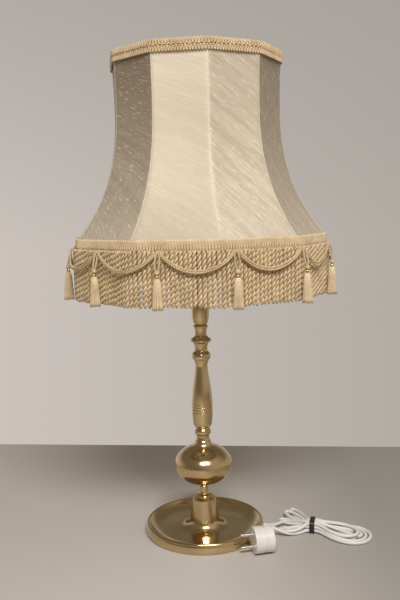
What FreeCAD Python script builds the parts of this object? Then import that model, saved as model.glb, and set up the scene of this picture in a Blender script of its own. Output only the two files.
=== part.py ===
import FreeCAD, Part
import math
import os

# Candlestick table lamp with a fringed, panelled fabric shade. Millimetres.
# The origin is the middle of the base at table level, +Z runs up the column and -Y faces the viewer.
# An angle round the lamp is counted from -Y towards +X.

# Clearances
running_gap = 0.08      # a piece that turns or slides in another
fit_gap = 0.15          # a piece threaded over the rod
seat_gap = 0.3          # pieces of two bodies that rest on each other
trim_gap = 0.1          # trim against the cloth that it is glued to
wire_gap = 0.5          # frame wires inside the cover
weight_top_gap = 0.1    # weight under the dish
end_gap = 1.0           # how far wires stop short of what they lead to

# Base
felt_thickness = 1.5
felt_inset = 6.0        # felt edge inside the base's widest radius
base_r = 93.5
base_foot_inset = 2.2
base_foot_z = 0.6
base_widest_z = 7.4
rim_top_z = 16.8
rim_round_r = 3.0
rim_crest_inset = 4.2
dish_slope_deg = 50.0   # slope of the dish's inner wall under the rim
dish_floor_z = 6.8
sheet_wall = 1.5
cone_foot_r = 38.0      # where the cone's foot leaves the dish floor
cone_foot_round_r = 15.0
cone_slope_deg = 78.0   # slope of the side over the foot's round
cone_top_r = 18.0
cone_hollow = 0.4       # how far the cone's side dips in from straight
cone_height = 45.5      # from the dish floor to the flat top
cone_edge = 0.9
weight_edge_gap = 9.1   # weight edge to the inside of the base's widest radius
weight_hub_r = 12.0
weight_web = 6.0
weight_well_r = 21.0    # open space under the web, for the nut
weight_well_z = 13.0
wire_slot_width = 6.6

# Threaded rod, its nuts and the wires inside it
rod_r = 5.0
rod_bore_r = 3.4
rod_foot_z = 5.6
nut_flats = 15.0
nut_height = 5.2
washer_r = 11.0
washer_thickness = 1.2
wire_r = 1.2
wire_pitch = 3.4        # leaves a web between the two holes in the holder's insert
wire_bend_r = 5.0
wire_drop_run = 8.0     # the wires come down from the bush over this run
rod_over_nut = 1.0

# Turned pieces of the column, from the neck up. A rise goes up to the radius of the same name, and a swell is
# how far its side stands out from straight, or dips in where it is less than nothing.

# Neck between the cone and the ball
neck_foot_r = 12.0
neck_foot_rise = 3.4
neck_ring_r = 12.8
neck_ring_rise = 2.6
neck_ring_swell = 0.75
neck_cove_r = 7.0
neck_cove_rise = 6.2
neck_cove_swell = -2.0
neck_waist_r = 6.5
neck_waist_rise = 5.5
neck_top_r = 9.0
neck_top_rise = 6.6
neck_top_swell = -0.7

# Hollow ball
ball_r = 45.2
ball_half_height = 32.0
ball_wall = 1.4

# Knop on the ball
shoulder_r = 17.0
shoulder_top_r = 12.2
shoulder_rise = 8.2
shoulder_swell = -1.0
lower_waist_r = 9.9
lower_waist_rise = 7.0
lower_waist_swell = -0.5
lower_ring_foot_r = 11.3
lower_ring_foot_rise = 4.0
lower_ring_foot_swell = -0.4
lower_ring_r = 12.3
lower_ring_edge = 0.8
lower_ring_rise = 5.8
lower_ring_swell = 0.4
lower_top_rise = 3.0
lower_top_swell = -0.3

# Baluster
baluster_foot_r = 10.3
baluster_hip_r = 15.0
baluster_hip_rise = 11.0
baluster_hip_swell = 1.2
baluster_belly_r = 16.2
baluster_belly_rise = 14.0
baluster_belly_swell = 0.25
baluster_band_rise = 15.0
baluster_mid_r = 12.9
baluster_mid_rise = 32.0
baluster_mid_swell = 0.45
baluster_top_r = 9.5
baluster_top_rise = 26.0
baluster_top_swell = -0.3
groove_count = 4
groove_pitch = 4.3
groove_r = 0.8
groove_depth = 0.55

# Upper knops
bead_foot_r = 12.6
bead_foot_rise = 10.8
bead_foot_swell = -0.8
bead_rise = 11.2
bead_swell = 2.3
upper_waist_r = 10.0
upper_waist_cove_rise = 5.0
upper_waist_swell = -0.7
upper_waist_rise = 3.0
disc_foot_r = 11.6
disc_foot_rise = 5.6
disc_foot_swell = -0.3
disc_under_r = 14.5
disc_under_rise = 2.8
disc_under_swell = -0.4
disc_r = 16.2
disc_edge_rise = 1.6
disc_edge_swell = 0.2
disc_lip_rise = 1.3
disc_over_r = 14.1
disc_over_rise = 2.8
disc_over_swell = 0.3
collar_waist_r = 9.2
collar_cove_rise = 5.4
collar_cove_swell = -0.9
collar_waist_rise = 4.0
small_ring_foot_r = 10.4
small_ring_foot_rise = 7.0
small_ring_foot_swell = -0.3
small_ring_r = 11.1
small_ring_edge = 0.4
small_ring_rise = 2.8
small_ring_swell = 0.5
small_top_r = 9.3
small_top_rise = 2.4
small_top_swell = -0.3

# Candle cup and the tube above it
cup_foot_r = 12.0
cup_foot_rise = 5.4
cup_foot_swell = 0.9
cup_step_r = 12.9
cup_step_rise = 3.0
cup_step_swell = -0.2
cup_r = 13.5
cup_rise = 20.0
cup_swell = 0.3
cup_lip_r = 18.0
cup_lip_rise = 16.0
cup_lip_swell = -1.6
cup_lip_thickness = 2.2
cup_edge_swell = 0.5
cup_lip_slope = 1.0     # the lip falls this far towards the tube
cup_well_depth = 5.0
sleeve_r = 8.0
sleeve_bore_r = 5.3
sleeve_height = 63.3

# Lamp holder
holder_r = 20.0
cap_over_shell = 0.4    # the cap is this much larger in radius than the shell
cap_round_r = 2.0
cap_wall = 2.2
cap_floor = 3.0
cap_height = 20.0
bar_r = 3.2
bar_round_r = 1.28
bar_off_axis = 8.5
bar_above_floor = 10.5
bar_travel = 6.0
bar_proud = 8.0
shell_wall = 2.9
shell_height = 40.0
insert_wall = 2.6
insert_floor = 5.0
insert_rise = 2.0
insert_height = 28.0
insert_web = 1.0        # left over the wires, under the contact
screw_shell_rise = 1.0
screw_shell_wall = 0.4
screw_shell_height = 25.0
contact_r = 3.0
contact_height = 3.0
contact_round_r = 0.8
shade_ring_width = 6.2
shade_ring_height = 5.0
shade_ring_rise = 20.3
ring_notch_count = 16
ring_notch_r = 1.0
ring_notch_out = 0.3    # notch centres outside the ring's edge

# Bulb
bulb_cap_r = 13.2
bulb_cap_height = 23.0
bulb_cap_wall = 0.5
bulb_cap_shoulder = 3.0
bulb_cap_floor_r = 6.0
bulb_tip_r = 5.0
bulb_tip_height = 2.0
bulb_tip_flat_r = 2.5
bulb_tip_bevel = 1.2
bulb_neck_r = 12.9
bulb_neck_in_cap = 4.0
bulb_neck_rise = 2.0
bulb_neck_swell = -1.8
bulb_r = 30.0
bulb_joint_deg = 30.0   # below its middle, the sphere passes into the neck
bulb_glass_height = 80.0
bulb_glass_wall = 0.9

# Shade: carrier and wire frame
carrier_hole_gap = 0.4
carrier_over_ring = 4.0 # the washer reaches this far beyond the shade rings
carrier_thickness = 2.0
carrier_drop = 16.0     # carrier above the hem ring
arm_count = 5
wire_frame_r = 1.5
ring_corner_r = 6.0
hem_ring_rise = 0.5     # over the hem
top_ring_drop = 2.5     # under the cover's top edge
rib_hem_gap = 2.0
rib_top_gap = 4.0

# Shade: cloth
panel_count = 10
first_rib_deg = 8.2
hem_r = 190.0           # at the ribs, as the other shade radii are
waist_r = 125.0
top_r = 127.2
shade_height = 262.0    # hem to the cover's top edge
waist_above_hem = 186.0
flare_power = 2.4
outline_steps = 11
cover_thickness = 0.8
lining_thickness = 0.6
lining_hem_gap = 6.0
lining_top_gap = 1.0

# Shade: trimmings
top_gimp_height = 18.0
top_gimp_thickness = 3.0
top_gimp_proud = 2.5    # over the cover's top edge
header_height = 15.0
header_thickness = 2.6
header_over_hem = 3.0
fringe_length = 74.5
fringe_thickness = 6.5
fringe_proud = 4.6      # outer face of the fringe in front of the header's
tassel_count = 12
first_tassel_deg = 14.1
tassel_r = 7.5
tassel_top_r = 4.8
tassel_skirt = 40.0
tassel_head = 9.0
tassel_head_swell = 1.68
tassel_cord_r = 1.8
tassel_cord_tuck = 1.0  # behind the header's lower edge
tassel_below_fringe = 1.0
tassel_off_fringe = 0.5
swag_r = 2.6
swag_dip = 20.0
swag_off_fringe = 0.6
swag_round_deg = 2.0    # a rope rounds a corner of the fringe from this far off
# Where a rope passes: share of the way to the next tassel, share of the full dip
swag_places = ((0.1, 0.1), (0.18, 0.47), (0.27, 0.74), (0.36, 0.92), (0.455, 1.0), (0.545, 1.0), (0.64, 0.92),
               (0.73, 0.74), (0.82, 0.47), (0.9, 0.1))

# Mains cord, its bush, hank, tie and plug
cord_r = 2.65
bush_deg = 84.0
bush_z = 6.2
bush_body_r = 3.9
bush_flange_r = 5.2
bush_flange = 1.6
relief_root_r = 4.6
relief_tip_r = 3.5
relief_length = 20.0
relief_turn_deg = 44.0  # the relief bends round with the cord
plug_r = 19.5
plug_turn_deg = 12.0
plug_face = (70.6, -86.6)
plug_flange = 13.5
plug_groove = 3.0
plug_groove_depth = 1.2
plug_grip = 13.0
plug_grip_inset = 0.3
plug_front_round_r = 1.0
plug_back_round_r = 2.0
plug_exit_from_face = 22.0
plug_exit_r = 5.2
plug_exit_length = 3.0
pin_r = 2.4
pin_round_r = 1.44
pin_length = 19.0
pin_pitch = 19.0
pin_root = 12.0
pin_root_r = 2.0
tie_centre = (169.0, -16.5)
tie_turn_deg = -14.0
tie_width = 7.5
tie_thickness = 1.2
bundle_width = 25.0
bundle_height = 17.0
bundle_round_r = 5.1
bundle_reach = 15.0     # the bundle keeps its section this far each side of the tie's middle
hank_left_height = 12.0
hank_right_height = 13.0
# Outer shape of the hank's two fanned ends, seen from above
hank_left = [(118, -15), (122, -5), (129, 4), (130, 11), (122, 19), (130, 42), (144, 57), (152, 52),
             (158, 26), (166, 2), (160, -25), (141, -21)]
hank_right = [(172, -3), (196, 2), (222, 0), (240, -12), (247, -34), (244, -57), (231, -77), (214, -84),
              (196, -68), (168, -30)]

# Cord routes: chosen points, each (x, y, z). The lead goes on from the relief's tip, the tail from the plug.
arc_share = 0.45        # of the shorter run, that an arc of the cord takes up
lead_points = [(119.0, 0.5, 6.2), (125.3, 6.6, 5.2), (131.0, 13.2, 4.4)]
tail_points = [
    (85.8, -52.1, 19.5), (87.3, -44.2, 19.1), (92.0, -37.7, 17.7), (98.9, -33.7, 15.5), (107.9, -32.8, 12.4),
    (117.8, -34.4, 8.6), (128.0, -34.8, 5.0), (138.0, -32.0, 3.1), (148.0, -28.4, 2.7), (158.0, -25.0, 4.0)]

V = FreeCAD.Vector
UP = V(0, 0, 1)


def write(node, shape):
    """Writes one node, after a look at its solids."""
    for solid in shape.Solids:
        if not solid.isValid():
            print(node, "has a solid that is not valid")
    print(node, "solids", len(shape.Solids), "volume", round(shape.Volume))
    shape.exportStep(f"parts/{node}.step")


def compound(shapes):
    return Part.makeCompound([solid for shape in shapes for solid in shape.Solids])


def around(degrees, radius, z):
    """The point at an angle round the lamp."""
    a = math.radians(degrees)
    return V(radius * math.sin(a), -radius * math.cos(a), z)


def turned(shape, degrees):
    """A copy of a shape made facing -Y, turned to an angle round the lamp."""
    copy = shape.copy()
    copy.rotate(V(), UP, degrees)
    return copy


def tube(outer_r, inner_r, z, height):
    body = Part.makeCylinder(outer_r, height, V(0, 0, z))
    return body.cut(Part.makeCylinder(inner_r, height + 2, V(0, 0, z - 1)))


class Outline:
    """A half section in radius and height, which is turned about the column's axis."""

    def __init__(self, r, z):
        self.first = self.last = V(r, 0, z)
        self.edges = []

    def line(self, r, z):
        end = V(r, 0, z)
        self.edges.append(Part.LineSegment(self.last, end).toShape())
        self.last = end
        return self

    def arc(self, via_r, via_z, r, z):
        end = V(r, 0, z)
        self.edges.append(Part.Arc(self.last, V(via_r, 0, via_z), end).toShape())
        self.last = end
        return self

    def rise(self, height, r, swell=0.0):
        """Up by a height to a radius; swell is how far an arc stands out from the straight line."""
        start, end = self.last, V(r, 0, self.last.z + height)
        if abs(swell) < 1e-6:
            return self.line(end.x, end.z)
        along = end - start
        out = V(along.z, 0, -along.x).normalize()
        via = (start + end) * 0.5 + out * swell
        return self.arc(via.x, via.z, end.x, end.z)

    def solid(self):
        edges = self.edges + [Part.LineSegment(self.last, self.first).toShape()]
        return Part.Face(Part.Wire(edges)).revolve(V(), UP, 360)


def rounded_path(points, corner_r=None, closed=False):
    """Straight runs joined by tangent arcs, as large as their runs allow if no corner radius is given."""
    pts = [V(*p) for p in points]
    count = len(pts)
    corners = range(count) if closed else range(1, count - 1)
    arcs, radii = {}, []
    for i in corners:
        before, point, after = pts[i - 1], pts[i], pts[(i + 1) % count]
        come, go = (point - before), (after - point)
        turn = come.getAngle(go)
        shorter = min(come.Length, go.Length)
        radius = corner_r or arc_share * shorter / math.tan(turn / 2)
        reach = radius * math.tan(turn / 2)
        start = point - V(come).normalize() * reach
        end = point + V(go).normalize() * reach
        inward = (V(go).normalize() - V(come).normalize()).normalize()
        middle = point + inward * (radius / math.cos(turn / 2) - radius)
        arcs[i] = (start, middle, end)
        radii.append(radius)
    edges = []
    for i in range(count if closed else count - 1):
        following = (i + 1) % count
        start = arcs[i][2] if i in arcs else pts[i]
        end = arcs[following][0] if following in arcs else pts[following]
        edges.append(Part.LineSegment(start, end).toShape())
        if following in arcs:
            edges.append(Part.Arc(*arcs[following]).toShape())
    return Part.Wire(edges), radii


def swept_tube(path, radius):
    start = path.Edges[0]
    direction = start.tangentAt(start.FirstParameter)
    section = Part.Wire(Part.makeCircle(radius, start.Vertexes[0].Point, direction))
    return path.makePipeShell([section], True, False)


def hexagon(flats, z, height):
    corner = flats / math.sqrt(3)
    points = [V(corner * math.cos(math.radians(60 * k)), corner * math.sin(math.radians(60 * k)), z)
              for k in range(7)]
    return Part.Face(Part.makePolygon(points)).extrude(V(0, 0, height))


# Levels that follow from the sizes above
bore_r = rod_r + fit_gap
base_foot_r = base_r - base_foot_inset
rim_crest_r = base_r - rim_crest_inset
bush_inner_r = base_foot_r - sheet_wall - seat_gap   # the bush's inner flange, clear of the curved wall
cone_top_z = dish_floor_z + cone_height
neck_top_z = cone_top_z + neck_foot_rise + neck_ring_rise + neck_cove_rise + neck_waist_rise + neck_top_rise


def ball_level(r):
    """Height above the ball's middle at which it has that radius."""
    return ball_half_height * math.sqrt(1 - (r / ball_r) ** 2)


ball_z = neck_top_z + ball_level(neck_top_r)
ball_top_z = ball_z + ball_level(shoulder_r)


def base_dish():
    """Spun dish with its rim and centre cone, open below."""
    slope = math.radians(dish_slope_deg)
    rim_z = rim_top_z - rim_round_r
    leave_r = rim_crest_r - rim_round_r * math.sin(slope)
    leave_z = rim_z + rim_round_r * math.cos(slope)
    cove_r = (leave_z - dish_floor_z) / (1 - math.cos(slope))
    cove_end_r = leave_r - cove_r * math.sin(slope)
    cove_z = dish_floor_z + cove_r
    half = slope / 2

    def cone_points(wall):
        """Three points of the round at the cone's foot, then middle and head of its side, a wall in."""
        foot, bend, hip = (foot_round(wall, share) for share in (0, 0.5, 1))
        head = (cone_top_r - wall, cone_top_z - cone_edge)
        length = math.hypot(head[0] - hip[0], head[1] - hip[1])
        out = ((head[1] - hip[1]) / length, (hip[0] - head[0]) / length)
        middle = [(hip[i] + head[i]) / 2 - out[i] * cone_hollow for i in (0, 1)]
        return foot, bend, hip, middle, head

    def foot_round(wall, share):
        angle = math.radians(cone_slope_deg) * share
        r = cone_foot_round_r + wall
        return cone_foot_r - r * math.sin(angle), dish_floor_z + cone_foot_round_r - r * math.cos(angle)

    foot, bend, hip, middle, head = cone_points(0)
    section = Outline(base_foot_r, base_foot_z)
    section.arc(base_r, base_widest_z, rim_crest_r + rim_round_r, rim_z)
    section.arc(rim_crest_r, rim_top_z, leave_r, leave_z)
    section.arc(cove_end_r + cove_r * math.sin(half), cove_z - cove_r * math.cos(half),
                cove_end_r, dish_floor_z)
    section.line(*foot).arc(*bend, *hip).arc(*middle, *head)
    section.line(cone_top_r - cone_edge, cone_top_z).line(bore_r, cone_top_z)
    section.line(bore_r, cone_top_z - sheet_wall)
    # the underside, back to the foot
    foot, bend, hip, middle, head = cone_points(sheet_wall)
    inner_round = rim_round_r - sheet_wall
    inner_cove = cove_r + sheet_wall
    section.line(head[0], cone_top_z - sheet_wall).line(*head).arc(*middle, *hip).arc(*bend, *foot)
    section.line(cove_end_r, dish_floor_z - sheet_wall)
    section.arc(cove_end_r + inner_cove * math.sin(half), cove_z - inner_cove * math.cos(half),
                rim_crest_r - inner_round * math.sin(slope), rim_z + inner_round * math.cos(slope))
    section.arc(rim_crest_r, rim_top_z - sheet_wall, rim_crest_r + inner_round, rim_z)
    section.arc(base_r - sheet_wall, base_widest_z, base_foot_r - sheet_wall, base_foot_z)
    dish = section.solid()
    hole_end = V(0, bush_flange - bush_inner_r, bush_z)
    hole_length = base_r - bush_inner_r + 2 * bush_flange
    hole = Part.makeCylinder(bush_body_r + trim_gap, hole_length, hole_end, V(0, -1, 0))
    return dish.cut(turned(hole, bush_deg))


def base_weight():
    """Cast disc under the dish, with a hub that bears on the cone's top."""
    plate_z = felt_thickness + seat_gap
    top_z = dish_floor_z - sheet_wall - weight_top_gap
    edge_r = base_r - sheet_wall - weight_edge_gap
    section = Outline(bore_r, weight_well_z)
    section.line(weight_well_r, weight_well_z).line(weight_well_r, plate_z).line(edge_r, plate_z)
    section.line(edge_r, top_z).line(weight_well_r + weight_web / 2, top_z)
    section.line(weight_well_r - weight_web / 4, weight_well_z + weight_web)
    section.line(weight_hub_r, weight_well_z + weight_web)
    section.line(weight_hub_r, cone_top_z - sheet_wall).line(bore_r, cone_top_z - sheet_wall)
    slot = Part.makeBox(wire_slot_width, base_r, weight_well_z, V(-wire_slot_width / 2, -base_r, 0))
    clear_of_web = tube(base_r + 1, weight_well_r, 0, top_z + 1)
    return section.solid().cut(turned(slot, bush_deg).common(clear_of_web))


def felt_pad():
    return Part.makeCylinder(base_r - felt_inset, felt_thickness)


def rod_and_nuts(rod_top_z, cap_floor_top_z):
    washer_z = weight_well_z - washer_thickness
    nut_z = washer_z - nut_height
    write("threaded_rod", tube(rod_r, rod_bore_r, rod_foot_z, rod_top_z - rod_foot_z))
    write("base_washer", tube(washer_r, bore_r, washer_z, washer_thickness))
    base_nut = hexagon(nut_flats, nut_z, nut_height).cut(Part.makeCylinder(rod_r, nut_height, V(0, 0, nut_z)))
    top_nut = hexagon(nut_flats, cap_floor_top_z, nut_height)
    top_nut = top_nut.cut(Part.makeCylinder(rod_r, nut_height, V(0, 0, cap_floor_top_z)))
    write("base_nut", base_nut)
    write("top_nut", top_nut)


def column():
    """The turned brass pieces, each on the one below it. Returns the level of the last one's top."""
    neck = Outline(bore_r, cone_top_z).line(neck_foot_r, cone_top_z)
    neck.rise(neck_foot_rise, neck_foot_r).line(neck_ring_r, cone_top_z + neck_foot_rise)
    neck.rise(neck_ring_rise, neck_ring_r, neck_ring_swell).rise(neck_cove_rise, neck_cove_r, neck_cove_swell)
    neck.rise(neck_waist_rise, neck_waist_r).rise(neck_top_rise, neck_top_r, neck_top_swell)
    write("neck", neck.line(bore_r, neck.last.z).solid())

    write("ball", ball())

    knop = Outline(bore_r, ball_top_z).line(shoulder_r, ball_top_z)
    knop.rise(shoulder_rise, shoulder_top_r, shoulder_swell)
    knop.rise(lower_waist_rise, lower_waist_r, lower_waist_swell)
    knop.rise(lower_ring_foot_rise, lower_ring_foot_r, lower_ring_foot_swell)
    knop.rise(lower_ring_edge, lower_ring_r).rise(lower_ring_rise, lower_ring_r, lower_ring_swell)
    knop.rise(lower_top_rise, baluster_foot_r, lower_top_swell)
    write("lower_knop", knop.line(bore_r, knop.last.z).solid())

    post = Outline(bore_r, knop.last.z).line(baluster_foot_r, knop.last.z)
    post.rise(baluster_hip_rise, baluster_hip_r, baluster_hip_swell)
    post.rise(baluster_belly_rise, baluster_belly_r, baluster_belly_swell)
    band_z = post.last.z
    post.rise(baluster_band_rise, baluster_belly_r)
    post.rise(baluster_mid_rise, baluster_mid_r, baluster_mid_swell)
    post.rise(baluster_top_rise, baluster_top_r, baluster_top_swell)
    baluster = post.line(bore_r, post.last.z).solid()
    first_z = band_z + (baluster_band_rise - groove_pitch * (groove_count - 1)) / 2
    for k in range(groove_count):
        ring_r = baluster_belly_r + groove_r - groove_depth
        baluster = baluster.cut(Part.makeTorus(ring_r, groove_r, V(0, 0, first_z + k * groove_pitch)))
    write("baluster", baluster)

    bead = Outline(bore_r, post.last.z).line(baluster_top_r, post.last.z)
    bead.rise(bead_foot_rise, bead_foot_r, bead_foot_swell).rise(bead_rise, bead_foot_r, bead_swell)
    bead.rise(upper_waist_cove_rise, upper_waist_r, upper_waist_swell).rise(upper_waist_rise, upper_waist_r)
    write("bead_knop", bead.line(bore_r, bead.last.z).solid())

    disc = Outline(bore_r, bead.last.z).line(upper_waist_r, bead.last.z)
    disc.rise(disc_foot_rise, disc_foot_r, disc_foot_swell)
    disc.rise(disc_under_rise, disc_under_r, disc_under_swell)
    disc.rise(disc_edge_rise, disc_r, disc_edge_swell).rise(disc_lip_rise, disc_r)
    disc.rise(disc_over_rise, disc_over_r, disc_over_swell)
    disc.rise(collar_cove_rise, collar_waist_r, collar_cove_swell).rise(collar_waist_rise, collar_waist_r)
    write("disc_knop", disc.line(bore_r, disc.last.z).solid())

    small = Outline(bore_r, disc.last.z).line(collar_waist_r, disc.last.z)
    small.rise(small_ring_foot_rise, small_ring_foot_r, small_ring_foot_swell)
    small.rise(small_ring_edge, small_ring_r).rise(small_ring_rise, small_ring_r, small_ring_swell)
    small.rise(small_top_rise, small_top_r, small_top_swell)
    write("small_knop", small.line(bore_r, small.last.z).solid())

    cup = Outline(bore_r, small.last.z).line(small_top_r, small.last.z)
    cup.rise(cup_foot_rise, cup_foot_r, cup_foot_swell).rise(cup_step_rise, cup_step_r, cup_step_swell)
    cup.rise(cup_rise, cup_r, cup_swell).rise(cup_lip_rise, cup_lip_r, cup_lip_swell)
    cup.rise(cup_lip_thickness, cup_lip_r, cup_edge_swell)
    lip_z = cup.last.z
    cup.line(sleeve_r + fit_gap, lip_z - cup_lip_slope).line(sleeve_r + fit_gap, lip_z - cup_well_depth)
    write("candle_cup", cup.line(bore_r, lip_z - cup_well_depth).solid())

    sleeve_z = lip_z - cup_well_depth
    write("sleeve_tube", tube(sleeve_r, sleeve_bore_r, sleeve_z, sleeve_height))
    return sleeve_z + sleeve_height


def ball():
    def filled(r, half_height, low_z, high_z):
        ellipse = Part.Ellipse(V(r, 0, ball_z), V(0, 0, ball_z + half_height), V(0, 0, ball_z))
        low = math.asin((low_z - ball_z) / half_height)
        high = math.asin((high_z - ball_z) / half_height)
        side = Part.ArcOfEllipse(ellipse, low, high).toShape()
        ends = [side.valueAt(side.FirstParameter), side.valueAt(side.LastParameter)]
        axis = [V(0, 0, ends[0].z), V(0, 0, ends[1].z)]
        corners = [ends[1], axis[1], axis[0], ends[0]]
        straight = [Part.LineSegment(a, b).toShape() for a, b in zip(corners, corners[1:])]
        return Part.Face(Part.Wire([side] + straight)).revolve(V(), UP, 360)

    outer = filled(ball_r, ball_half_height, neck_top_z, ball_top_z)
    inner = filled(ball_r - ball_wall, ball_half_height - ball_wall,
                   neck_top_z + ball_wall, ball_top_z - ball_wall)
    return outer.cut(inner).cut(Part.makeCylinder(bore_r, 4 * ball_half_height, V(0, 0, neck_top_z - 1)))


def holder(cap_z):
    """Lamp holder with its switch bar and two shade rings. Returns the level of the carrier's seat."""
    cap_top_z = cap_z + cap_height
    bar_z = cap_z + cap_floor + bar_above_floor
    cap_r = holder_r + cap_over_shell
    cap = Part.makeCylinder(cap_r, cap_height, V(0, 0, cap_z))
    lower_edge = [e for e in cap.Edges if len(e.Vertexes) == 1 and e.CenterOfMass.z < cap_z + 1]
    cap = cap.makeFillet(cap_round_r, lower_edge)
    cap = cap.cut(Part.makeCylinder(holder_r - cap_wall, cap_height, V(0, 0, cap_z + cap_floor)))
    cap = cap.cut(Part.makeCylinder(bore_r, cap_height, V(0, 0, cap_z - 1)))
    bore_start = V(-2 * cap_r, bar_off_axis, bar_z)
    write("holder_cap", cap.cut(Part.makeCylinder(bar_r + running_gap, 4 * cap_r, bore_start, V(1, 0, 0))))

    bar_half = math.sqrt(cap_r ** 2 - bar_off_axis ** 2)
    bar_pushed = bar_proud - bar_travel
    bar_start = V(-bar_half - bar_pushed, bar_off_axis, bar_z)
    bar = Part.makeCylinder(bar_r, 2 * bar_half + bar_proud + bar_pushed, bar_start, V(1, 0, 0))
    write("switch_bar", bar.makeFillet(bar_round_r, [e for e in bar.Edges if len(e.Vertexes) == 1]))

    inner_r = holder_r - shell_wall
    write("holder_shell", tube(holder_r, inner_r, cap_top_z, shell_height))

    insert_z = cap_top_z + insert_rise
    insert_r = inner_r - trim_gap
    well_r = insert_r - insert_wall
    insert = Part.makeCylinder(insert_r, insert_height, V(0, 0, insert_z))
    insert = insert.cut(Part.makeCylinder(well_r, insert_height, V(0, 0, insert_z + insert_floor)))
    for side in (-1, 1):
        hole_at = V(side * wire_pitch / 2, 0, insert_z)
        hole = Part.makeCylinder(wire_r + fit_gap, insert_floor - insert_web, hole_at)
        insert = insert.cut(turned(hole, bush_deg))
    write("holder_insert", insert)
    floor_z = insert_z + insert_floor
    screw_shell_r = bulb_cap_r + running_gap
    write("screw_shell", tube(well_r, screw_shell_r, floor_z + screw_shell_rise, screw_shell_height))
    contact = Part.makeCylinder(contact_r, contact_height, V(0, 0, floor_z))
    contact_edge = [e for e in contact.Edges if e.CenterOfMass.z > floor_z + 1 and len(e.Vertexes) == 1]
    write("centre_contact", contact.makeFillet(contact_round_r, contact_edge))
    inner_wires(insert_z + insert_floor - insert_web - end_gap)
    bulb(floor_z + contact_height + seat_gap)

    ring_z = cap_top_z + shade_ring_rise
    write("lower_shade_ring", shade_ring(ring_z))
    seat_z = ring_z + shade_ring_height + seat_gap
    write("upper_shade_ring", shade_ring(seat_z + carrier_thickness + seat_gap))
    return seat_z


def shade_ring(z):
    ring = tube(holder_r + shade_ring_width, holder_r + running_gap, z, shade_ring_height)
    for k in range(ring_notch_count):
        at = around(360 / ring_notch_count * k, holder_r + shade_ring_width + ring_notch_out, z - 1)
        ring = ring.cut(Part.makeCylinder(ring_notch_r, shade_ring_height + 2, at))
    return ring


def bulb(tip_z):
    tip = Outline(0, tip_z).line(bulb_tip_flat_r, tip_z).line(bulb_tip_r, tip_z + bulb_tip_bevel)
    write("bulb_tip", tip.line(bulb_tip_r, tip_z + bulb_tip_height).line(0, tip_z + bulb_tip_height).solid())

    cap_z = tip_z + bulb_tip_height + seat_gap
    cap_top_z = cap_z + bulb_cap_height
    shoulder_z = cap_z + bulb_cap_shoulder
    inside_r = bulb_cap_r - bulb_cap_wall
    cap = Outline(0, cap_z).line(bulb_cap_floor_r, cap_z).line(bulb_cap_r, shoulder_z)
    cap.line(bulb_cap_r, cap_top_z).line(inside_r, cap_top_z).line(inside_r, shoulder_z)
    cap.line(bulb_cap_floor_r, cap_z + bulb_cap_wall)
    write("bulb_cap", cap.line(0, cap_z + bulb_cap_wall).solid())

    # the glass is a sphere on a neck that widens into it
    neck_r = min(bulb_neck_r, inside_r - trim_gap)
    foot_z = cap_top_z - bulb_neck_in_cap
    neck_top_z = cap_top_z + bulb_neck_rise
    centre_z = foot_z + bulb_glass_height - bulb_r

    def glass(inset):
        r = bulb_r - inset

        def on_sphere(degrees):
            a = math.radians(degrees)
            return r * math.cos(a), centre_z + r * math.sin(a)

        joint_r, joint_z = on_sphere(-bulb_joint_deg)
        shape = Outline(0, foot_z).line(neck_r - inset, foot_z).line(neck_r - inset, neck_top_z)
        shape.rise(joint_z - neck_top_z, joint_r, bulb_neck_swell)
        shape.arc(*on_sphere(0), *on_sphere(45))
        return shape.arc(*on_sphere(67.5), 0, centre_z + r).solid()

    write("bulb_glass", glass(0).cut(glass(bulb_glass_wall)))


def inner_wires(end_z):
    """The two wires under the dish and up the rod."""
    low_z = felt_thickness + seat_gap + wire_r
    start_r = bush_inner_r - bush_flange - end_gap
    turn_r = start_r - wire_drop_run
    wires = []
    for side in (-1, 1):
        x = side * wire_pitch / 2
        points = [(x, -start_r, bush_z), (x, -turn_r, low_z), (x, 0, low_z), (x, 0, end_z)]
        path = rounded_path(points, wire_bend_r)[0]
        wires.append(turned(swept_tube(path, wire_r), bush_deg))
    write("inner_wires", compound(wires))


# Shade. Its sections are regular polygons, so each side is one flat-topped strip between two ribs.
half_side = math.pi / panel_count
side_step = 360 / panel_count
first_side_deg = first_rib_deg + side_step / 2
wide = 2 * hem_r


def rib_radius(height):
    """Radius at the ribs, at a height above the hem."""
    if height < waist_above_hem:
        return waist_r + (hem_r - waist_r) * (1 - height / waist_above_hem) ** flare_power
    return waist_r + (top_r - waist_r) * ((height - waist_above_hem) / (shade_height - waist_above_hem)) ** 2


def skin(height, inset):
    """Distance from the axis to the middle of a side and the height, moved in from the cover's outer face."""
    step = 0.5
    low, high = max(height - step, 0), min(height + step, shade_height)
    across = (rib_radius(high) - rib_radius(low)) * math.cos(half_side)
    along = math.hypot(across, high - low)
    at = rib_radius(height) * math.cos(half_side)
    return at - inset * (high - low) / along, height + inset * across / along


def strip_face(inset, thickness, low, high):
    """Section of a side between two heights above the hem, in the plane x = 0."""
    levels = [low + (high - low) * k / outline_steps for k in range(outline_steps + 1)]
    outer = [skin(h, inset) for h in levels]
    inner = [skin(h, inset + thickness) for h in levels]
    curves = []
    for points in (outer, inner):
        spline = Part.BSplineCurve()
        spline.interpolate([V(0, -a, h) for a, h in points])
        curves.append(spline.toShape())
    ends = [Part.LineSegment(V(0, -outer[k][0], outer[k][1]), V(0, -inner[k][0], inner[k][1])).toShape()
            for k in (0, -1)]
    return Part.Face(Part.Wire([curves[0], ends[1], curves[1], ends[0]]))


def wedge(z, height):
    """The share of the shade that belongs to one side, facing -Y."""
    reach = wide * math.tan(half_side)
    corners = [V(0, 0, z), V(reach, -wide, z), V(-reach, -wide, z), V(0, 0, z)]
    return Part.Face(Part.makePolygon(corners)).extrude(V(0, 0, height))


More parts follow.
